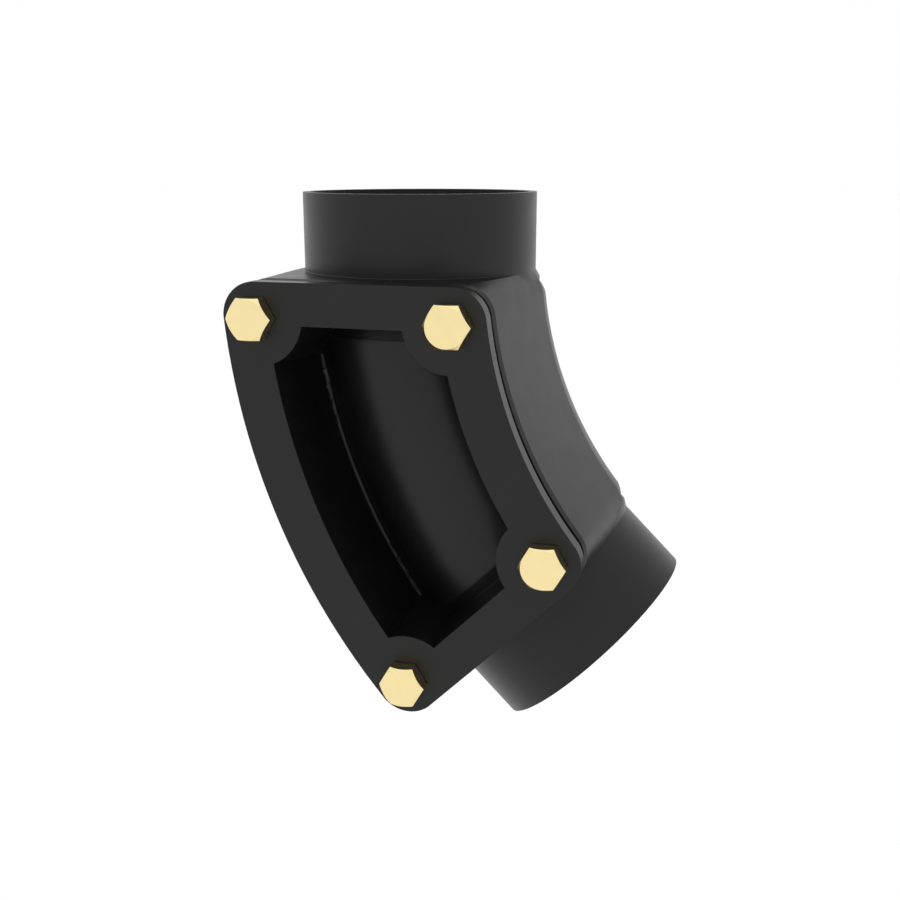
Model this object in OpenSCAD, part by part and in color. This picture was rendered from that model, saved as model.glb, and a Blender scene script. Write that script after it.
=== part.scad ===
// Cast iron drain pipe bend with a bolted access door on its side.
// Sizes are millimetres. The origin is the centre of the upper spigot's end face and
// +Z points straight out of that spigot. The bend turns towards +X, and the door faces -Y.

/* [Pipe] */
// Outside diameter of both spigots
pipe_od = 110; // [106:1:116]
// Wall thickness of the spigots
pipe_wall = 3.5; // [3:0.25:5]
// Step in the bore where the curved part, cast on a core of its own, is the narrower one
core_step = 0.2; // [0.1:0.05:0.5]
// Radius of the bend, measured to the centre of the pipe
bend_r = 238; // [225:1:280]
// Angle that the bend turns through
bend_angle = 45; // [40:1:60]
// Straight length from the start of the curve to each end face
straight = 26.5; // [15:0.5:80]

/* [Access chamber] */
// How far the door frame's face stands in front of the pipe's outside
frame_stand = 10; // [8:0.5:16]
// How far the frame's outer edge lies outside the pipe
frame_outer = 11; // [8:0.5:14]
// How far the frame's inner edge lies inside the pipe's outline
frame_inner = 3.7; // [1:0.1:5]
// How much wider the chamber's outer wall gets from the frame back to the parting line
spread_outer = 1.2; // [0.6:0.1:3]
// How much wider the chamber's inner wall gets from the frame back to the parting line
spread_inner = 7.7; // [5:0.1:9]
// Distance from the start of the curve down to the chamber's flat end
end_setback = 9.5; // [6:0.5:14]
// Radius of the chamber's rounded ends and of the door's corners
corner_r = 15; // [12:0.5:18]
// Width of the sloped edge round the frame's face
edge_width = 1; // [0.5:0.1:1.5]
// Depth of the sloped edge round the frame's face
edge_depth = 2.4; // [1.5:0.1:4]
// How far the spigots' roots spread out where they run into the chamber
root_spread = 2; // [1:0.25:3]
// Length of the sloped part of those roots
root_len = 3.5; // [2.5:0.5:6]
// How far the roots start in front of the chamber's end, so a coupling stops there
root_stand = 0.2; // [0.1:0.1:1]
// Ledge along the parting line, where the casting's back half is the smaller one
parting_ledge = 0.3; // [0.2:0.05:0.6]

/* [Door] */
// Thickness of the door's flange
door_t = 7; // [5:0.5:10]
// Thickness of the gasket between door and frame
gasket_t = 6; // [3:0.5:7]
// How far the gasket stays inside the flange's edge
gasket_inset = 3; // [2:0.5:4]
// Width of the flange beside the pocket, along the curved sides
rim_side = 20.3; // [18:0.1:22]
// Width of the flange beside the pocket, along the straight ends
rim_end = 18.5; // [16:0.1:20]
// Radius of the flange's lobe round each bolt
lobe_r = 21.6; // [20:0.1:24]
// Distance from the flange's edges to the middle of each lobe
lobe_inset = 15; // [14:0.5:16]
// Draft angle of the pocket's walls and of the plug
draft = 6; // [4:0.5:7]

/* [Pocket floor] */
// Radius of the long hump that follows the bend
hump_r = 47.7; // [46:0.1:50]
// Thickness of the door behind the hump's crest
crest_wall = 8; // [7:0.5:10]
// Length of the slope that ends the hump, measured from the pocket's mouth
ramp_len = 7.6; // [6:0.1:10]
// Step from the hump down to the start of that slope
ramp_step = 0.1; // [0.1:0.05:0.5]
// How far the slope falls for each millimetre of length
ramp_fall = 0.25; // [0.1:0.05:0.4]
// Fillet between the hump and the pocket's long walls
floor_fillet = 1.5; // [1:0.1:2]

/* [Plug] */
// Wall of the plug round the pocket
plug_wall = 5.4; // [4:0.1:6]
// Gap between the plug and the opening in the body
plug_gap = 0.6; // [0.4:0.1:1]
// How far the plug's concave face stands proud of the bore
plug_proud = 1.3; // [0.5:0.1:2]
// Distance from the pipe's centre plane to the end of the plug's skirt
skirt_h = 28; // [26:0.5:30]

/* [Bolts] */
// Thread diameter of the bolts
bolt_d = 12; // [10:1:14]
// Length of the bolts under the head
bolt_len = 30; // [26:1:34]
// Width of the hexagon head across its flats
head_af = 18; // [17:0.5:20]
// Height of the hexagon head
head_h = 7.5; // [6:0.5:9]
// Distance from the flange's outer edge to the middle of each outer bolt
from_outer = 14.2; // [14:0.1:16]
// Distance from the flange's inner edge to the middle of each inner bolt
from_inner = 15.6; // [14:0.1:16]
// Distance from the flange's straight ends to the middle of each bolt
from_end = 15.5; // [14:0.5:16]
// Clearance round the bolts in the door and the gasket
bolt_clear = 0.75; // [0.5:0.05:1]
// Clearance round the bolts in the tapped holes
thread_clear = 0.05; // [0.02:0.01:0.1]
// Depth of the tapped hole beyond the bolt's tip
tap_runout = 3; // [2:0.5:4]

/* [Hidden] */
$fn = 96;

// Segments of a full turn about the bend's own centre
bend_segments = 360;
// Length by which a cutter passes the face that it cuts
overcut = 1;
// How far a rounded corner's circle crosses the edges that it joins
blend = 0.05;

// Depths are distances in front of the pipe's centre plane, towards the door
bore_r = pipe_od / 2 - pipe_wall;
frame_h = pipe_od / 2 + frame_stand;
edge_h = frame_h - edge_depth;
flange_h = frame_h + gasket_t;
door_h = flange_h + door_t;
core_r = bore_r - core_step;
plug_r = core_r - plug_proud;
crest_h = plug_r + crest_wall;
hump_h = crest_h - hump_r;
tip_h = door_h - bolt_len;
tap_h = tip_h - tap_runout;

// Radii about the bend's centre
outer_r = bend_r + pipe_od / 2 + frame_outer;
inner_r = bend_r - pipe_od / 2 + frame_inner;

// Levels below the start of the curve
corner_z = -(end_setback + corner_r);
lobe_z = -(end_setback + lobe_inset);
bolt_z = -(end_setback + from_end);
mouth_z = -(end_setback + rim_end);
ramp_z = mouth_z - ramp_len;

half_angle = bend_angle / 2;
far = 2 * outer_r;
slope = tan(draft);
edge_slope = edge_width / edge_depth;

// Round back of the chamber: its radius, the radius of its middle line and its corner level
back_r = (outer_r + spread_outer - inner_r + spread_inner) / 2 - parting_ledge;
back_mid_r = (outer_r + spread_outer + inner_r - spread_inner) / 2;
back_z = corner_z - parting_ledge;

// X of the arc of radius r about the bend's centre, at level z
function arc_x(r, z) = bend_r - sqrt(r * r - z * z);

// Ring through the centres of the round back's end edge
ring_out = arc_x(back_mid_r + back_r - corner_r, back_z);
ring_in = arc_x(back_mid_r - back_r + corner_r, back_z);
ring_r = (ring_in - ring_out) / 2;
ring_x = (ring_in + ring_out) / 2;

// The chamber's inner wall leans at that level, so the end edge's circle crosses it by more
back_lean = asin(-back_z / (back_mid_r - back_r + corner_r));
back_blend = blend + corner_r * (1 / cos(back_lean) - 1);

// Centres of the flange's rounded corners, of its lobes and of the bolts, at the upper end
corner_out = [arc_x(outer_r - corner_r, corner_z), corner_z];
corner_in = [arc_x(inner_r + corner_r, corner_z), corner_z];
lobe_out = [arc_x(outer_r - lobe_inset, lobe_z), lobe_z];
lobe_in = [arc_x(inner_r + lobe_inset, lobe_z), lobe_z];
bolt_out = [arc_x(outer_r - from_outer, bolt_z), bolt_z];
bolt_in = [arc_x(inner_r + from_inner, bolt_z), bolt_z];

// Image of an XZ point at the lower end
function at_other_end(p) =
    let (v = p - [bend_r, 0], axis = -[cos(half_angle), sin(half_angle)])
    [bend_r, 0] + 2 * (v * axis) * axis - v;

// Hexagon head: corner radius, radius of its flat top, and slope of the chamfer round that
head_corner_r = head_af / 2 / cos(30);
head_top_r = 0.48 * head_af;
head_chamfer = 45;

// Places its children below the upper end face, where the curve starts
module below_spigot() {
    translate([0, 0, -straight]) children();
}

// Keeps the upper half of its children, in a frame centred on the bend's centre
module upper_half() {
    intersection() {
        rotate([0, half_angle, 0])
            translate([-bend_r, 0, 0]) children();
        translate([-far, -far, 0]) cube([2 * far, 2 * far, far]);
    }
}

// Makes a whole from its children's upper half and the mirror image of that half
module both_halves() {
    translate([bend_r, 0, 0])
        rotate([0, -half_angle, 0])
            for (side = [0, 1])
                mirror([0, 0, side]) upper_half() children();
}

// Moves its children to the lower end
module at_lower_end() {
    translate([bend_r, 0, 0])
        mirror([sin(half_angle), 0, -cos(half_angle)])
            translate([-bend_r, 0, 0]) children();
}

// Sweeps a profile of radius and depth round the bend
module round_bend() {
    translate([bend_r, 0, 0])
        rotate([90, 180, 0])
            rotate_extrude(angle = bend_angle, $fn = bend_segments) children();
}

// Extrudes an XZ outline towards the door, from one depth to another
module towards_door(from, to) {
    rotate([90, 0, 0])
        translate([0, 0, from])
            linear_extrude(to - from) children();
}

// Cylinder or cone along the depth, at a point of the XZ plane
module depth_cone(p, from, to, r_from, r_to) {
    rotate([90, 0, 0])
        translate([p.x, p.y, from])
            cylinder(h = to - from, r1 = r_from, r2 = r_to);
}

// Everything below a level that rises by k for each millimetre of depth
module below_slope(level, ref, k, bottom, top) {
    translate([far, 0, 0])
        rotate([0, 0, -90])
            rotate([90, 0, 0])
                linear_extrude(2 * far)
                    polygon([[bottom, level + k * (bottom - ref)], [top, level + k * (top - ref)],
                             [top, -far], [bottom, -far]]);
}

// Upper half of a plate with the flange's outline, drawn in by an inset at depth ref.
// Its outer wall, inner wall and end move outwards by k for each millimetre below ref.
module plate(bottom, top, ref, inset, k_out, k_in, k_end) {
    r_out = outer_r - inset;
    r_in = inner_r + inset;
    difference() {
        intersection() {
            round_bend()
                polygon([[r_in - k_in * (ref - bottom), bottom], [r_out + k_out * (ref - bottom), bottom],
                         [r_out + k_out * (ref - top), top], [r_in - k_in * (ref - top), top]]);
            below_slope(-end_setback - inset, ref, -k_end, bottom - overcut, top + overcut);
        }
        corner_cut(corner_out, 1, bottom, top, corner_r - inset + k_out * ref, k_out);
        corner_cut(corner_in, -1, bottom, top, corner_r - inset + k_in * ref, k_in);
    }
}

// What a rounded corner takes away; its radius at depth h is r - k * h
module corner_cut(c, side, bottom, top, r, k) {
    reach = pipe_od;
    out = side * (c - [bend_r, 0]) / norm(c - [bend_r, 0]);
    from = bottom - 2 * overcut;
    to = top + 2 * overcut;
    difference() {
        towards_door(bottom - overcut, top + overcut)
            polygon([c, c + reach * out, c + reach * (out + [0, 1]), c + reach * [0, 1]]);
        depth_cone(c, from, to, r + blend - k * from, r + blend - k * to);
    }
}

// Radius of a pocket wall at a depth; side is 1 for the outer wall and -1 for the inner
function wall_r(h, side, grow) =
    (side > 0 ? outer_r - rim_side : inner_r + rim_side) + side * (grow - slope * (door_h - h));

// Upper half of the space inside the pocket's drafted walls, grown by a wall thickness
module pocket_space(grow, bottom, top) {
    from = bottom - 2 * overcut;
    to = top + 2 * overcut;
    difference() {
        intersection() {
            round_bend()
                polygon([[wall_r(bottom, -1, grow), bottom], [wall_r(bottom, 1, grow), bottom],
                         [wall_r(top, 1, grow), top], [wall_r(top, -1, grow), top]]);
            below_slope(mouth_z + grow, door_h, slope, bottom - overcut, top + overcut);
        }
        for (c = [lobe_out, lobe_in])
            depth_cone(c, from, to, lobe_r - grow + slope * (door_h - from),
                       lobe_r - grow + slope * (door_h - to));
    }
}

// Straight part of the bore, which reaches a little into the curved part
module straight_bore() {
    reach = overcut / 2;
    translate([0, 0, -reach])
        cylinder(h = straight + reach + overcut, r = bore_r);
}

// Upper half of the chamber's front, from the parting line to the frame's face
module chamber_front() {
    intersection() {
        plate(0, frame_h + overcut, edge_h, 0, spread_outer / edge_h, spread_inner / edge_h, 0);
        plate(-overcut, frame_h, frame_h, edge_width, edge_slope, edge_slope, edge_slope);
    }
}

// Upper half of the chamber's round back, with its end edge rounded
module chamber_back() {
    difference() {
        intersection() {
            round_bend()
                intersection() {
                    translate([back_mid_r, 0]) circle(back_r);
                    translate([0, -far]) square([far, far + overcut]);
                }
            translate([-far, -far, back_z + corner_r - far]) cube([2 * far, 2 * far, far]);
        }
        translate([ring_x, 0, 0])
            rotate_extrude()
                translate([ring_r, back_z])
                    difference() {
                        square(2 * corner_r);
                        circle(corner_r + back_blend);
                    }
    }
}

// Upper spigot, with the root that runs into the chamber
module spigot() {
    root_z = root_stand - end_setback;
    translate([0, 0, corner_z]) {
        cylinder(h = straight - corner_z, r = pipe_od / 2);
        cylinder(h = root_z - root_len - corner_z, r = pipe_od / 2 + root_spread);
    }
    translate([0, 0, root_z - root_len])
        cylinder(h = root_len, r1 = pipe_od / 2 + root_spread, r2 = pipe_od / 2);
}

// Tapped hole with a drilled point
module tapped_hole(b) {
    r = bolt_d / 2 + thread_clear;
    depth_cone(b, tap_h, frame_h + overcut, r, r);
    depth_cone(b, tap_h - r / 2, tap_h, 0, r);
}

// One casting: two plain spigots, the bend and the access chamber with its door frame
module bend_body() {
    color("#2b2b2c")
        below_spigot()
            difference() {
                both_halves()
                    difference() {
                        union() {
                            chamber_front();
                            chamber_back();
                            spigot();
                        }
                        pocket_space(plug_wall + plug_gap, skirt_h - plug_gap, frame_h + overcut);
                        tapped_hole(bolt_out);
                        tapped_hole(bolt_in);
                    }
                round_bend()
                    translate([bend_r, 0]) circle(core_r);
                straight_bore();
                at_lower_end() straight_bore();
            }
}

// Section of the fillet between the hump and one long wall, made to overlap both
module fillet_section(side) {
    k = side * slope;
    a = wall_r(hump_h, side, 0) - side * floor_fillet / cos(draft) - bend_r;
    q = hump_r + floor_fillet;
    rise = (sqrt(a * a * k * k - (1 + k * k) * (a * a - q * q)) - a * k) / (1 + k * k);
    centre = [bend_r + a + k * rise, hump_h + rise];
    to_hump = ([bend_r, hump_h] - centre) / q;
    to_wall = side * [cos(draft), -side * sin(draft)];
    reach = 2 * floor_fillet;
    difference() {
        polygon([centre, centre + reach * to_wall, centre + 2 * reach * (to_wall + to_hump),
                 centre + reach * to_hump]);
        translate(centre) circle(floor_fillet + blend);
    }
}

// Upper half of the pocket's floor: the hump, its fillets and the slope at its end
module pocket_floor() {
    past = ramp_len + 2 * overcut;
    intersection() {
        round_bend() {
            translate([bend_r, hump_h]) circle(hump_r);
            fillet_section(1);
            fillet_section(-1);
        }
        translate([-far, -far, ramp_z - far]) cube([2 * far, 2 * far, far]);
    }
    translate([arc_x(bend_r, ramp_z), -hump_h, ramp_z - overcut])
        cylinder(h = past + overcut, r1 = hump_r - ramp_step + ramp_fall * overcut,
                 r2 = hump_r - ramp_step - ramp_fall * past);
}

// Door: a flange with four lobes, and a hollow plug that completes the bore
module access_cover() {
    hole_r = bolt_d / 2 + bolt_clear;
    color("#2b2b2c")
        below_spigot()
            both_halves()
                difference() {
                    union() {
                        plate(flange_h, door_h, door_h, 0, 0, 0, 0);
                        pocket_space(plug_wall, skirt_h, flange_h + overcut);
                    }
                    round_bend()
                        translate([bend_r, 0]) circle(plug_r);
                    difference() {
                        pocket_space(0, skirt_h, door_h + overcut);
                        pocket_floor();
                    }
                    for (b = [bolt_out, bolt_in])
                        depth_cone(b, flange_h - overcut, door_h + overcut, hole_r, hole_r);
                }
}

// Flat gasket between the door's flange and the frame
module door_gasket() {
    hole_r = bolt_d / 2 + bolt_clear;
    color("#1a1a1a")
        below_spigot()
            both_halves()
                difference() {
                    plate(frame_h, flange_h, flange_h, gasket_inset, 0, 0, 0);
                    pocket_space(plug_wall + plug_gap, frame_h - overcut, flange_h + overcut);
                    for (b = [bolt_out, bolt_in])
                        depth_cone(b, frame_h - overcut, flange_h + overcut, hole_r, hole_r);
                }
}

// Hexagon head set screw at a point of the XZ plane, turned so that two flats are level
module bolt(b) {
    tip = bolt_d / 8;
    top_h = door_h + head_h;
    over_h = top_h + overcut;
    grow = 1 / tan(head_chamfer);
    color("#d8bd78") {
        intersection() {
            rotate([90, 0, 0])
                translate([b.x, b.y, door_h])
                    cylinder(h = head_h, r = head_corner_r, $fn = 6);
            depth_cone(b, door_h - overcut, over_h,
                       head_top_r + grow * (head_h + overcut), head_top_r - grow * overcut);
        }
        depth_cone(b, tip_h + tip, door_h, bolt_d / 2, bolt_d / 2);
        depth_cone(b, tip_h, tip_h + tip, bolt_d / 2 - tip, bolt_d / 2);
    }
}

bend_body();
access_cover();
door_gasket();
below_spigot() bolt(bolt_out);  // bolt_upper_outer
below_spigot() bolt(bolt_in);  // bolt_upper_inner
below_spigot() bolt(at_other_end(bolt_out));  // bolt_lower_outer
below_spigot() bolt(at_other_end(bolt_in));  // bolt_lower_inner
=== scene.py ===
"""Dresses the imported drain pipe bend: coated cast iron, a rubber gasket and brass set screws."""

import logging
import math
from dataclasses import dataclass
from enum import Enum
from typing import Any

import bmesh
import bpy
from mathutils import Matrix, Vector


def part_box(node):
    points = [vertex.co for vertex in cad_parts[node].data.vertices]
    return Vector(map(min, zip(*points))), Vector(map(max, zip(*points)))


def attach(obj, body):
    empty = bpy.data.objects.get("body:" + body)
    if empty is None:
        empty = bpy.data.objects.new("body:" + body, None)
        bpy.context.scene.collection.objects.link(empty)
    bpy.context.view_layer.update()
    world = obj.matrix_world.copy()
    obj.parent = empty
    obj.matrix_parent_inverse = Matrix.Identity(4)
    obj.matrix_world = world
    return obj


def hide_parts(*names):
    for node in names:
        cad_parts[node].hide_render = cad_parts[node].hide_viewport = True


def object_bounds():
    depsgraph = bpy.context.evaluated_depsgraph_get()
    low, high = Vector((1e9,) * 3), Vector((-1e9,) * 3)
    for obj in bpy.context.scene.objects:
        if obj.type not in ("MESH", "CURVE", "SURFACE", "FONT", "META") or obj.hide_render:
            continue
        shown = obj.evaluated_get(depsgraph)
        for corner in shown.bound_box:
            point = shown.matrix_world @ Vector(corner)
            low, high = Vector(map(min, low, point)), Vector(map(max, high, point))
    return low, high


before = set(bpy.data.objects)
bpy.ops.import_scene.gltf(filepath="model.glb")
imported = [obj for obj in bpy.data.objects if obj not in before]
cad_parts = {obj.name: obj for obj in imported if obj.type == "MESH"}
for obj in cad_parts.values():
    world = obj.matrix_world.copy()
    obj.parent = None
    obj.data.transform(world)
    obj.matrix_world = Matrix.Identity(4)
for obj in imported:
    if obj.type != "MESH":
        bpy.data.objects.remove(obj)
cad_lo, cad_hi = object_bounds()

LOG = logging.getLogger("drain_bend")
MM = 0.001
ROOT_BODY = "root"
TURN = 2 * math.pi

# Sockets of a Mix node for its two colours and its result, and for its two numbers
COLOUR_A, COLOUR_B, COLOUR_OUT = 6, 7, 2
NUMBER_A, NUMBER_B = 2, 3

# How many finer octaves the swell's noise has, and how strong each next octave of a noise is
SWELL_DETAIL, SWELL_ROUGHNESS = 3.0, 0.55
GRAIN_ROUGHNESS = 0.6
# Values of grain times swell between which the first colour turns into the second
PATCH_FROM, PATCH_TO = 0.15, 0.4
# Values between which nearly all of a noise lies
NOISE_LOW, NOISE_HIGH = 0.3, 0.7
# The swell's share in the roughness; the grain has the rest
SWELL_SHARE = 0.6
# Samples of the node that softens the edges
EDGE_SAMPLES = 8

# Turn about X that points a new camera, which looks straight down, at the horizon
LEVEL_DEG = 90.0

# Angle that a side of a hexagon takes round the axis
SIDE_ANGLE = TURN / 6
# Radius and height of each point of the head's profile, by the names that its steps give them,
# from the middle of its top to the middle of its seat
HEAD_PROFILE = (
    ("nothing", "Head Height"),
    ("top radius", "Head Height"),
    ("hexagon", "chamfer height"),
    ("hexagon", "Washer Height"),
    ("washer radius", "Washer Height"),
    ("washer radius", "nothing"),
    ("nothing", "nothing"),
)
HEAD_ROWS = len(HEAD_PROFILE)
# Rows that close one end of the shank
END_ROWS = 2.0
# Parts of the way from the middle of a thread's root to the middle of its crest: the flat of
# the root, then the sloped flank, and the flat of the crest is the rest
ROOT_SHARE = 0.25
FLANK_SHARE = 0.625

Sockets = dict[str | int, bpy.types.NodeSocket]


def linear(hex_colour: str) -> tuple[float, float, float, float]:
    """Turns an sRGB hex colour into linear RGBA.

    Args:
        hex_colour: the colour as "#rrggbb".

    Returns:
        Red, green, blue and an alpha of 1, for a colour socket.
    """
    parts = [int(hex_colour[i:i + 2], 16) / 255 for i in (1, 3, 5)]
    # The curve of the sRGB standard: a straight start, then a power
    rgb = [p / 12.92 if p <= 0.04045 else ((p + 0.055) / 1.055) ** 2.4 for p in parts]
    return (rgb[0], rgb[1], rgb[2], 1.0)


def add_node(
    tree: bpy.types.NodeTree,
    kind: str,
    settings: dict[str, Any] | None = None,
    inputs: dict[str | int, Any] | None = None,
    links: Sockets | None = None,
) -> bpy.types.Node:
    """Adds one node with its settings, input values and incoming links.

    Args:
        tree: the node tree that gets the node.
        kind: Blender's name for the type of node.
        settings: attributes of the node itself.
        inputs: values for its input sockets, by name or index.
        links: output sockets to join to its input sockets, by name or index.

    Returns:
        The new node.
    """
    node = tree.nodes.new(kind)
    for name, value in (settings or {}).items():
        setattr(node, name, value)
    for key, value in (inputs or {}).items():
        node.inputs[key].default_value = value
    for key, socket in (links or {}).items():
        tree.links.new(socket, node.inputs[key])
    return node


def work_out(
    tree: bpy.types.NodeTree, known: Sockets, steps: list[tuple[str | float, ...]],
) -> Sockets:
    """Adds a chain of Math nodes, written as rows of a result, an operation and its operands.

    Args:
        tree: the node tree.
        known: sockets that the rows may name.
        steps: the rows; an operand is a number or the name of a socket or earlier result.

    Returns:
        The known sockets with the results added.
    """
    known = dict(known)
    for result, operation, *operands in steps:
        numbers = {i: float(o) for i, o in enumerate(operands) if not isinstance(o, str)}
        sockets = {i: known[o] for i, o in enumerate(operands) if isinstance(o, str)}
        node = add_node(tree, "ShaderNodeMath", {"operation": operation}, numbers, sockets)
        known[result] = node.outputs[0]
    return known


def per_metre(size_mm: float) -> float:
    """Noise scale that gives features of about size_mm on Object coordinates in metres."""
    return 1.0 / (size_mm * MM)


class Grain(Enum):
    """How the surface of a finish was made, which sets how much fine detail its noise has."""

    SAND_CAST = "sand cast"
    MOULDED = "moulded"
    TURNED = "turned"


# How many finer octaves the noise of each kind of surface has
GRAIN_DETAIL = {Grain.SAND_CAST: 5.0, Grain.MOULDED: 2.0, Grain.TURNED: 1.0}


@dataclass(frozen=True)
class Finish:
    """One finish, with its colours in sRGB and its pattern sizes in millimetres."""

    name: str
    colour: str
    second_colour: str
    metallic: float
    roughness: float
    roughness_spread: float
    grain: Grain
    grain_mm: float
    grain_depth_mm: float
    swell_mm: float
    swell_depth_mm: float
    edge_mm: float
    ior: float = 1.5

    def material(self) -> bpy.types.Material:
        """Builds the finish as a node material.

        Returns:
            The material, with colour, roughness, bump and softened edges from nodes.
        """
        mat = bpy.data.materials.new(self.name)
        mat.use_nodes = True
        tree = mat.node_tree
        tree.nodes.clear()
        place = add_node(tree, "ShaderNodeTexCoord").outputs["Object"]
        fine = self._grain(tree, place)
        swell = add_node(
            tree, "ShaderNodeTexNoise",
            inputs={
                "Scale": per_metre(self.swell_mm), "Detail": SWELL_DETAIL,
                "Roughness": SWELL_ROUGHNESS,
            },
            links={"Vector": place},
        ).outputs["Fac"]
        bsdf = add_node(
            tree, "ShaderNodeBsdfPrincipled",
            inputs={"Metallic": self.metallic, "IOR": self.ior},
            links={
                "Base Color": self._colour(tree, fine, swell),
                "Roughness": self._roughness(tree, fine, swell),
                "Normal": self._normal(tree, fine, swell),
            },
        )
        add_node(tree, "ShaderNodeOutputMaterial", links={"Surface": bsdf.outputs["BSDF"]})
        return mat

    def _grain(self, tree: bpy.types.NodeTree, place: bpy.types.NodeSocket) -> bpy.types.NodeSocket:
        """Adds the fine pattern that the making of the surface left.

        Args:
            tree: the material's node tree.
            place: Object coordinates.

        Returns:
            The pattern's value, from 0 to 1.
        """
        return add_node(
            tree, "ShaderNodeTexNoise",
            inputs={
                "Scale": per_metre(self.grain_mm), "Detail": GRAIN_DETAIL[self.grain],
                "Roughness": GRAIN_ROUGHNESS,
            },
            links={"Vector": place},
        ).outputs["Fac"]

    def _colour(
        self, tree: bpy.types.NodeTree, fine: bpy.types.NodeSocket, swell: bpy.types.NodeSocket,
    ) -> bpy.types.NodeSocket:
        """Mixes the two colours of the finish over its patterns.

        Args:
            tree: the material's node tree.
            fine: the grain's value.
            swell: the broad pattern's value.

        Returns:
            The colour socket for the shader.
        """
        both = add_node(
            tree, "ShaderNodeMath", {"operation": "MULTIPLY"}, links={0: fine, 1: swell},
        ).outputs[0]
        ramp = add_node(
            tree, "ShaderNodeMapRange", inputs={"From Min": PATCH_FROM, "From Max": PATCH_TO},
            links={"Value": both},
        ).outputs["Result"]
        return add_node(
            tree, "ShaderNodeMix", {"data_type": "RGBA"},
            inputs={COLOUR_A: linear(self.colour), COLOUR_B: linear(self.second_colour)},
            links={0: ramp},
        ).outputs[COLOUR_OUT]

    def _roughness(
        self, tree: bpy.types.NodeTree, fine: bpy.types.NodeSocket, swell: bpy.types.NodeSocket,
    ) -> bpy.types.NodeSocket:
        """Varies the roughness round its middle value.

        Args:
            tree: the material's node tree.
            fine: the grain's value.
            swell: the broad pattern's value.

        Returns:
            The roughness socket for the shader.
        """
        mean = add_node(
            tree, "ShaderNodeMix", {"data_type": "FLOAT"}, inputs={0: SWELL_SHARE},
            links={NUMBER_A: fine, NUMBER_B: swell},
        ).outputs[0]
        return add_node(
            tree, "ShaderNodeMapRange",
            inputs={
                "From Min": NOISE_LOW, "From Max": NOISE_HIGH,
                "To Min": self.roughness - self.roughness_spread,
                "To Max": self.roughness + self.roughness_spread,
            },
            links={"Value": mean},
        ).outputs["Result"]

    def _normal(
        self, tree: bpy.types.NodeTree, fine: bpy.types.NodeSocket, swell: bpy.types.NodeSocket,
    ) -> bpy.types.NodeSocket:
        """Adds softened edges, the broad swell and the fine grain to the normal.

        Args:
            tree: the material's node tree.
            fine: the grain's value.
            swell: the broad pattern's value.

        Returns:
            The normal socket for the shader.
        """
        soft = add_node(
            tree, "ShaderNodeBevel", {"samples": EDGE_SAMPLES}, inputs={"Radius": self.edge_mm * MM},
        ).outputs["Normal"]
        broad = add_node(
            tree, "ShaderNodeBump", inputs={"Distance": self.swell_depth_mm * MM},
            links={"Height": swell, "Normal": soft},
        ).outputs["Normal"]
        return add_node(
            tree, "ShaderNodeBump", inputs={"Distance": self.grain_depth_mm * MM},
            links={"Height": fine, "Normal": broad},
        ).outputs["Normal"]


# Sand cast iron under a thin black coating: near black, with the gloss of the coating and
# the sand's grain showing faintly through it. Real grains of about 0.3 mm are too fine for the
# render, so they are drawn at 0.9 mm.
COATED_IRON = Finish(
    name="coated_cast_iron", colour="#0b0b0b", second_colour="#0f0f0f", metallic=0.0,
    roughness=0.36, roughness_spread=0.04, grain=Grain.SAND_CAST, grain_mm=0.9,
    grain_depth_mm=0.008, swell_mm=14.0, swell_depth_mm=0.03, edge_mm=0.4, ior=1.39,
)
# Moulded rubber sheet: black and matt, so the joint reads as a dark line. Its real texture is
# too fine for the render, so it is drawn at 0.6 mm.
GASKET_RUBBER = Finish(
    name="gasket_rubber", colour="#060606", second_colour="#0c0c0c", metallic=0.0,
    roughness=0.7, roughness_spread=0.08, grain=Grain.MOULDED, grain_mm=0.6,
    grain_depth_mm=0.01, swell_mm=9.0, swell_depth_mm=0.02, edge_mm=0.3,
)
# Machined brass: pale yellow metal, smooth enough to mirror the light in its flats. Real tool
# marks are too fine for the render, so they are drawn as a faint unevenness of 0.5 mm.
MACHINED_BRASS = Finish(
    name="machined_brass", colour="#f5e2aa", second_colour="#f2dea4", metallic=1.0,
    roughness=0.2, roughness_spread=0.03, grain=Grain.TURNED, grain_mm=0.5,
    grain_depth_mm=0.002, swell_mm=6.0, swell_depth_mm=0.004, edge_mm=0.25,
)


def add_piece(
    mesh: bpy.types.Mesh, name: str, nodes: list[str], material: bpy.types.Material,
) -> bpy.types.Object:
    """Puts a mesh in the scene in the place of some CAD nodes.

    Args:
        mesh: the finished mesh, in the row frame.
        name: the piece's name.
        nodes: the CAD nodes that the piece stands for.
        material: what it is made of.

    Returns:
        The new object.
    """
    mesh.name = name
    mesh.materials.clear()
    mesh.materials.append(material)
    obj = bpy.data.objects.new(name, mesh)
    bpy.context.scene.collection.objects.link(obj)
    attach(obj, ROOT_BODY)
    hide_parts(*nodes)
    LOG.info("%s stands for %s, with %d faces", name, ", ".join(nodes), len(mesh.polygons))
    return obj


@dataclass
class Casting:
    """A piece that keeps its CAD shape, with its loose triangles joined and shaded smooth."""

    node: str
    name: str
    material: bpy.types.Material
    slot: str
    merge_mm: float = 0.002
    sharp_deg: float = 13.0

    def build(self) -> bpy.types.Object:
        """Copies the CAD node's mesh, joins its triangles and dresses it.

        Returns:
            The piece, in the row frame.
        """
        work = bmesh.new()
        work.from_mesh(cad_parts[self.node].data)
        bmesh.ops.remove_doubles(work, verts=work.verts, dist=self.merge_mm * MM)
        mesh = bpy.data.meshes.new(self.name)
        corners = [v.co.copy() for v in work.verts]
        work.verts.index_update()
        mesh.from_pydata(corners, [], [[v.index for v in f.verts] for f in work.faces])
        work.free()
        mesh.shade_smooth()
        mesh.set_sharp_from_angle(angle=math.radians(self.sharp_deg))
        return add_piece(mesh, self.name, [self.node], self.material)


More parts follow.
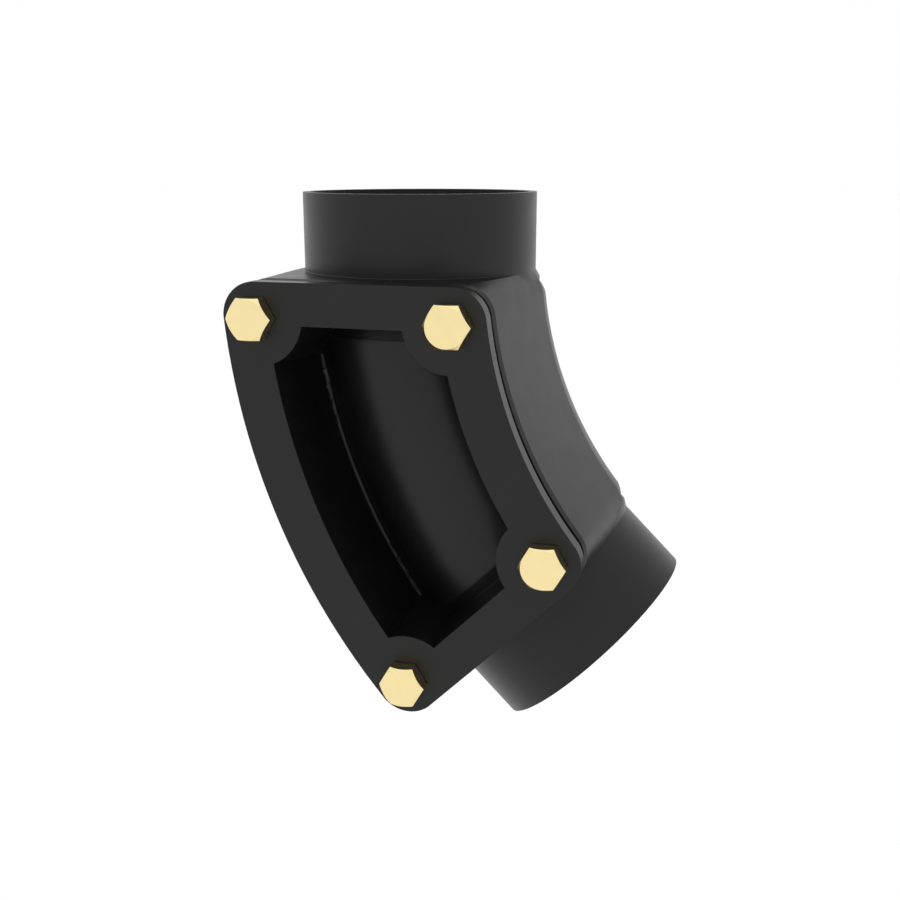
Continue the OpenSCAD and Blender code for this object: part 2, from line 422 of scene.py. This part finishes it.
@dataclass(frozen=True)
class ScrewSizes:
    """Sizes of a hexagon head set screw, in millimetres."""

    across_flats: float = 18.0
    head_height: float = 7.5
    top_diameter: float = 17.28
    chamfer_slope: float = 1.0
    washer_diameter: float = 16.6
    washer_height: float = 0.4
    thread_diameter: float = 12.0
    pitch: float = 1.75
    thread_depth: float = 1.07
    length: float = 30.0

    def named(self) -> dict[str, float]:
        """Gives the sizes by the names of the node tree's inputs, in metres."""
        return {
            "Across Flats": self.across_flats * MM,
            "Head Height": self.head_height * MM,
            "Top Diameter": self.top_diameter * MM,
            "Chamfer Slope": self.chamfer_slope,
            "Washer Diameter": self.washer_diameter * MM,
            "Washer Height": self.washer_height * MM,
            "Thread Diameter": self.thread_diameter * MM,
            "Pitch": self.pitch * MM,
            "Thread Depth": self.thread_depth * MM,
            "Length": self.length * MM,
        }


@dataclass
class ScrewSet:
    """The four set screws, repeated by one node tree from a point at each screw's seat."""

    sizes: ScrewSizes
    finish: Finish
    name: str = "set_screws"
    slot: str = "brass"
    columns: int = 36
    rows_per_pitch: int = 8
    head_columns: int = 60
    join_mm: float = 0.001
    sharp_deg: float = 25.0

    def build(self, nodes: list[str]) -> bpy.types.Object:
        """Makes the screws that stand for some CAD nodes.

        Args:
            nodes: names of the CAD nodes of the screws.

        Returns:
            One plain mesh piece with all the screws, in the row frame.
        """
        host = self._host(nodes)
        material = self.finish.material()
        modifier = host.modifiers.new("screws", "NODES")
        modifier.node_group = self._tree()
        values = {**self.sizes.named(), "Material": material}
        for item in modifier.node_group.interface.items_tree:
            if item.in_out == "INPUT" and item.name in values:
                modifier[item.identifier] = values[item.name]
        evaluated = host.evaluated_get(bpy.context.evaluated_depsgraph_get())
        mesh = bpy.data.meshes.new_from_object(evaluated)
        host.modifiers.remove(modifier)
        bpy.data.objects.remove(host)
        self._tidy(mesh)
        return add_piece(mesh, self.name, nodes, material)

    def _host(self, nodes: list[str]) -> bpy.types.Object:
        """Makes the object that carries one point at the middle of each screw's seat.

        Args:
            nodes: names of the CAD nodes of the screws.

        Returns:
            The host object, linked to the scene.
        """
        seats = []
        for node in nodes:
            lo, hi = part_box(node)
            # The head's top is the screw's foremost face, and the seat is a head's height behind
            seat_y = lo[1] + self.sizes.head_height * MM
            seats.append(((lo[0] + hi[0]) / 2, seat_y, (lo[2] + hi[2]) / 2))
        mesh = bpy.data.meshes.new("seats")
        mesh.from_pydata(seats, [], [])
        host = bpy.data.objects.new("seats", mesh)
        bpy.context.scene.collection.objects.link(host)
        return host

    def _tidy(self, mesh: bpy.types.Mesh) -> None:
        """Takes out faces without area, turns the rest outward and marks the sharp edges.

        Args:
            mesh: the screws' mesh, changed in place.
        """
        work = bmesh.new()
        work.from_mesh(mesh)
        bmesh.ops.dissolve_degenerate(work, edges=work.edges, dist=self.join_mm * MM)
        bmesh.ops.recalc_face_normals(work, faces=work.faces)
        work.to_mesh(mesh)
        work.free()
        mesh.shade_smooth()
        mesh.set_sharp_from_angle(angle=math.radians(self.sharp_deg))

    def _tree(self) -> bpy.types.NodeTree:
        """Builds the node tree that puts a screw on each point.

        Returns:
            The tree, with named inputs for the screw's sizes.
        """
        tree = bpy.data.node_groups.new("set_screw", "GeometryNodeTree")
        tree.interface.new_socket("Geometry", in_out="INPUT", socket_type="NodeSocketGeometry")
        for name in self.sizes.named():
            tree.interface.new_socket(name, in_out="INPUT", socket_type="NodeSocketFloat")
        tree.interface.new_socket("Material", in_out="INPUT", socket_type="NodeSocketMaterial")
        tree.interface.new_socket("Geometry", in_out="OUTPUT", socket_type="NodeSocketGeometry")
        given = add_node(tree, "NodeGroupInput").outputs
        known = {name: given[name] for name in self.sizes.named()}
        known["index"] = add_node(tree, "GeometryNodeInputIndex").outputs["Index"]
        screw = add_node(tree, "GeometryNodeJoinGeometry")
        for part in (self._shank(tree, known), self._head(tree, known)):
            tree.links.new(part, screw.inputs[0])
        placed = add_node(
            tree, "GeometryNodeInstanceOnPoints",
            links={"Points": given["Geometry"], "Instance": screw.outputs[0]},
        ).outputs["Instances"]
        plain = add_node(tree, "GeometryNodeRealizeInstances", links={0: placed}).outputs[0]
        dressed = add_node(
            tree, "GeometryNodeSetMaterial", links={"Geometry": plain, "Material": given["Material"]},
        ).outputs["Geometry"]
        add_node(tree, "NodeGroupOutput", links={"Geometry": dressed})
        return tree

    def _shank(self, tree: bpy.types.NodeTree, known: Sockets) -> bpy.types.NodeSocket:
        """Adds the threaded shank: a grid wound round the axis, with the thread's profile.

        Args:
            tree: the node tree.
            known: the sizes, and the index of a point of the grid.

        Returns:
            The shank's geometry.
        """
        known = work_out(tree, known, [
            ("turns", "DIVIDE", "Length", "Pitch"),
            ("turns and seam", "ADD", "turns", 1.0),
            ("exact rows", "MULTIPLY", "turns and seam", self.rows_per_pitch),
            ("whole rows", "CEIL", "exact rows"),
            # The end in the head is closed, and the tip
            ("rows", "ADD", "whole rows", 2 * END_ROWS),
        ])
        grid = add_node(
            tree, "GeometryNodeMeshGrid", inputs={"Vertices X": self.columns + 1},
            links={"Vertices Y": known["rows"]},
        ).outputs["Mesh"]
        known = work_out(tree, known, [
            ("row", "MODULO", "index", "rows"),
            ("before", "SUBTRACT", "index", "row"),
            ("column", "DIVIDE", "before", "rows"),
            ("round", "DIVIDE", "column", self.columns),
            ("angle", "MULTIPLY", "round", TURN),
            ("thread row", "SUBTRACT", "row", END_ROWS),
            ("pitches", "DIVIDE", "thread row", self.rows_per_pitch),
            ("wound", "SUBTRACT", "pitches", "round"),
            ("reach", "MULTIPLY", "wound", "Pitch"),
            ("past head", "MAXIMUM", "reach", 0.0),
            ("along", "MINIMUM", "past head", "Length"),
            # The flat of the root takes a quarter of the pitch and that of the crest an eighth
            ("phase", "FRACT", "pitches"),
            ("doubled", "MULTIPLY", "phase", 2.0),
            ("centred", "SUBTRACT", "doubled", 1.0),
            ("from crest", "ABSOLUTE", "centred"),
            ("from root", "SUBTRACT", 1.0, "from crest"),
            ("up flank", "SUBTRACT", "from root", ROOT_SHARE),
            ("share", "DIVIDE", "up flank", FLANK_SHARE),
            ("share above", "MAXIMUM", "share", 0.0),
            ("share between", "MINIMUM", "share above", 1.0),
            ("height", "MULTIPLY", "share between", "Thread Depth"),
            ("crest radius", "DIVIDE", "Thread Diameter", 2.0),
            ("root radius", "SUBTRACT", "crest radius", "Thread Depth"),
            ("thread radius", "ADD", "root radius", "height"),
            # Both ends run out at 45 degrees
            ("to tip", "SUBTRACT", "Length", "along"),
            ("tip limit", "ADD", "root radius", "to tip"),
            ("neck limit", "ADD", "root radius", "along"),
            ("in tip", "MINIMUM", "thread radius", "tip limit"),
            ("in both", "MINIMUM", "in tip", "neck limit"),
            # The first and last rows are the middles of the ends
            ("not first", "MINIMUM", "row", 1.0),
            ("last row", "SUBTRACT", "rows", 1.0),
            ("to last", "SUBTRACT", "last row", "row"),
            ("not last", "MINIMUM", "to last", 1.0),
            ("open radius", "MULTIPLY", "in both", "not first"),
            ("radius", "MULTIPLY", "open radius", "not last"),
            # The rows that close the end towards the head are sunk into it
            ("sunk", "LESS_THAN", "row", END_ROWS - 0.5),
            ("dip", "MULTIPLY", "sunk", "Washer Height"),
            ("Y", "SUBTRACT", "along", "dip"),
        ])
        return self._turned(tree, grid, known)

    def _head(self, tree: bpy.types.NodeTree, known: Sockets) -> bpy.types.NodeSocket:
        """Adds the hexagon head, with its chamfer and the round face that it seats on.

        Args:
            tree: the node tree.
            known: the sizes, and the index of a point of the grid.

        Returns:
            The head's geometry.
        """
        known = work_out(tree, known, [
            ("row", "MODULO", "index", HEAD_ROWS),
            ("before", "SUBTRACT", "index", "row"),
            ("column", "DIVIDE", "before", HEAD_ROWS),
            ("round", "DIVIDE", "column", self.head_columns),
            ("angle", "MULTIPLY", "round", TURN),
            ("in flat", "MODULO", "angle", SIDE_ANGLE),
            ("off middle", "SUBTRACT", "in flat", SIDE_ANGLE / 2),
            ("cosine", "COSINE", "off middle"),
            ("flat radius", "DIVIDE", "Across Flats", 2.0),
            ("hexagon", "DIVIDE", "flat radius", "cosine"),
            ("top radius", "DIVIDE", "Top Diameter", 2.0),
            ("washer radius", "DIVIDE", "Washer Diameter", 2.0),
            ("past top", "SUBTRACT", "hexagon", "top radius"),
            ("drop", "MULTIPLY", "past top", "Chamfer Slope"),
            ("chamfer height", "SUBTRACT", "Head Height", "drop"),
            # The profile is picked from sockets, so its zero is one too
            ("nothing", "MULTIPLY", "drop", 0.0),
        ])
        for column, result in enumerate(("radius", "rise")):
            pick = add_node(tree, "GeometryNodeIndexSwitch", {"data_type": "FLOAT"})
            while len(pick.index_switch_items) < HEAD_ROWS:
                pick.index_switch_items.new()
            tree.links.new(known["row"], pick.inputs["Index"])
            for row, names in enumerate(HEAD_PROFILE):
                tree.links.new(known[names[column]], pick.inputs[row + 1])
            known[result] = pick.outputs[0]
        known = work_out(tree, known, [("Y", "MULTIPLY", "rise", -1.0)])
        grid = add_node(
            tree, "GeometryNodeMeshGrid",
            inputs={"Vertices X": self.head_columns + 1, "Vertices Y": HEAD_ROWS},
        ).outputs["Mesh"]
        return self._turned(tree, grid, known)

    def _turned(
        self, tree: bpy.types.NodeTree, grid: bpy.types.NodeSocket, known: Sockets,
    ) -> bpy.types.NodeSocket:
        """Wraps a grid round the screw's axis and joins its seam.

        Args:
            tree: the node tree.
            grid: the flat grid.
            known: the angle, radius and Y of its points.

        Returns:
            The closed shape.
        """
        known = work_out(tree, known, [
            ("cos", "COSINE", "angle"),
            ("sin", "SINE", "angle"),
            ("X", "MULTIPLY", "radius", "cos"),
            ("Z", "MULTIPLY", "radius", "sin"),
        ])
        place = add_node(
            tree, "ShaderNodeCombineXYZ", links={axis: known[axis] for axis in ("X", "Y", "Z")},
        ).outputs[0]
        wrapped = add_node(
            tree, "GeometryNodeSetPosition", links={"Geometry": grid, "Position": place},
        ).outputs["Geometry"]
        return add_node(
            tree, "GeometryNodeMergeByDistance", inputs={"Distance": self.join_mm * MM},
            links={"Geometry": wrapped},
        ).outputs["Geometry"]


@dataclass
class Studio:
    """Camera, pale floor and soft light."""

    eye_mm: tuple[float, float, float] = (162.963, -508.276, 12.438)
    yaw_deg: float = 16.285
    pitch_deg: float = 14.557
    roll_deg: float = -0.082
    lens_mm: float = 44.067
    sensor_mm: float = 36.0
    floor_drop_mm: float = 420.0
    floor_size_m: float = 60.0
    floor_colour: str = "#ffffff"
    floor_roughness: float = 1.0
    surround_colour: str = "#ffffff"
    surround_strength: float = 1.0
    clip_m: tuple[float, float] = (0.01, 200.0)
    lamp_m: float = 4.0
    lamp_watts: float = 6.0
    lamp_height_m: float = 3.0

    def camera(self) -> None:
        """Makes the camera where the photograph was taken from."""
        data = bpy.data.cameras.new("camera")
        data.lens, data.sensor_width = self.lens_mm, self.sensor_mm
        data.clip_start, data.clip_end = self.clip_m
        cam = bpy.data.objects.new("camera", data)
        bpy.context.scene.collection.objects.link(cam)
        turn = (
            Matrix.Rotation(math.radians(self.yaw_deg), 4, "Z")
            @ Matrix.Rotation(math.radians(LEVEL_DEG - self.pitch_deg), 4, "X")
            @ Matrix.Rotation(math.radians(self.roll_deg), 4, "Z")
        )
        cam.matrix_world = Matrix.Translation(Vector(self.eye_mm) * MM) @ turn
        bpy.context.scene.camera = cam

    def floor(self) -> None:
        """Lays a plain pale floor well below the held part."""
        mesh = bpy.data.meshes.new("floor")
        half, z = self.floor_size_m / 2, cad_lo.z - self.floor_drop_mm * MM
        mesh.from_pydata([(-half, -half, z), (half, -half, z), (half, half, z), (-half, half, z)],
                         [], [(0, 1, 2, 3)])
        obj = bpy.data.objects.new("floor", mesh)
        bpy.context.scene.collection.objects.link(obj)
        mat = bpy.data.materials.new("pale_floor")
        mat.use_nodes = True
        bsdf = mat.node_tree.nodes["Principled BSDF"]
        bsdf.inputs["Base Color"].default_value = linear(self.floor_colour)
        bsdf.inputs["Roughness"].default_value = self.floor_roughness
        mesh.materials.append(mat)

    def light(self) -> None:
        """Surrounds the part with even white light and hangs a wide softbox over it."""
        scene = bpy.context.scene
        world = bpy.data.worlds.new("studio")
        world.use_nodes = True
        back = world.node_tree.nodes["Background"]
        back.inputs["Color"].default_value = linear(self.surround_colour)
        back.inputs["Strength"].default_value = self.surround_strength
        scene.world = world
        scene.view_settings.view_transform = "Standard"
        data = bpy.data.lights.new("softbox", "AREA")
        data.shape, data.size, data.energy = "SQUARE", self.lamp_m, self.lamp_watts
        lamp = bpy.data.objects.new("softbox", data)
        lamp.location = (0.0, 0.0, self.lamp_height_m)
        scene.collection.objects.link(lamp)


def main() -> None:
    """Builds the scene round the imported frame."""
    logging.basicConfig(level=logging.INFO, format="%(name)s: %(message)s")
    studio = Studio()
    studio.camera()
    iron, rubber = COATED_IRON.material(), GASKET_RUBBER.material()
    Casting("bend_body", "pipe_bend", iron, "coated_iron").build()
    # The fillets in the door's pocket have coarser facets than the body's, so more is smoothed
    Casting("access_cover", "access_door", iron, "coated_iron", sharp_deg=35.0).build()
    Casting("door_gasket", "rubber_gasket", rubber, "gasket_rubber").build()
    bolts = sorted(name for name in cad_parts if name.startswith("bolt_"))
    ScrewSet(ScrewSizes(), MACHINED_BRASS).build(bolts)
    studio.floor()
    studio.light()


if __name__ == "__main__":
    main()
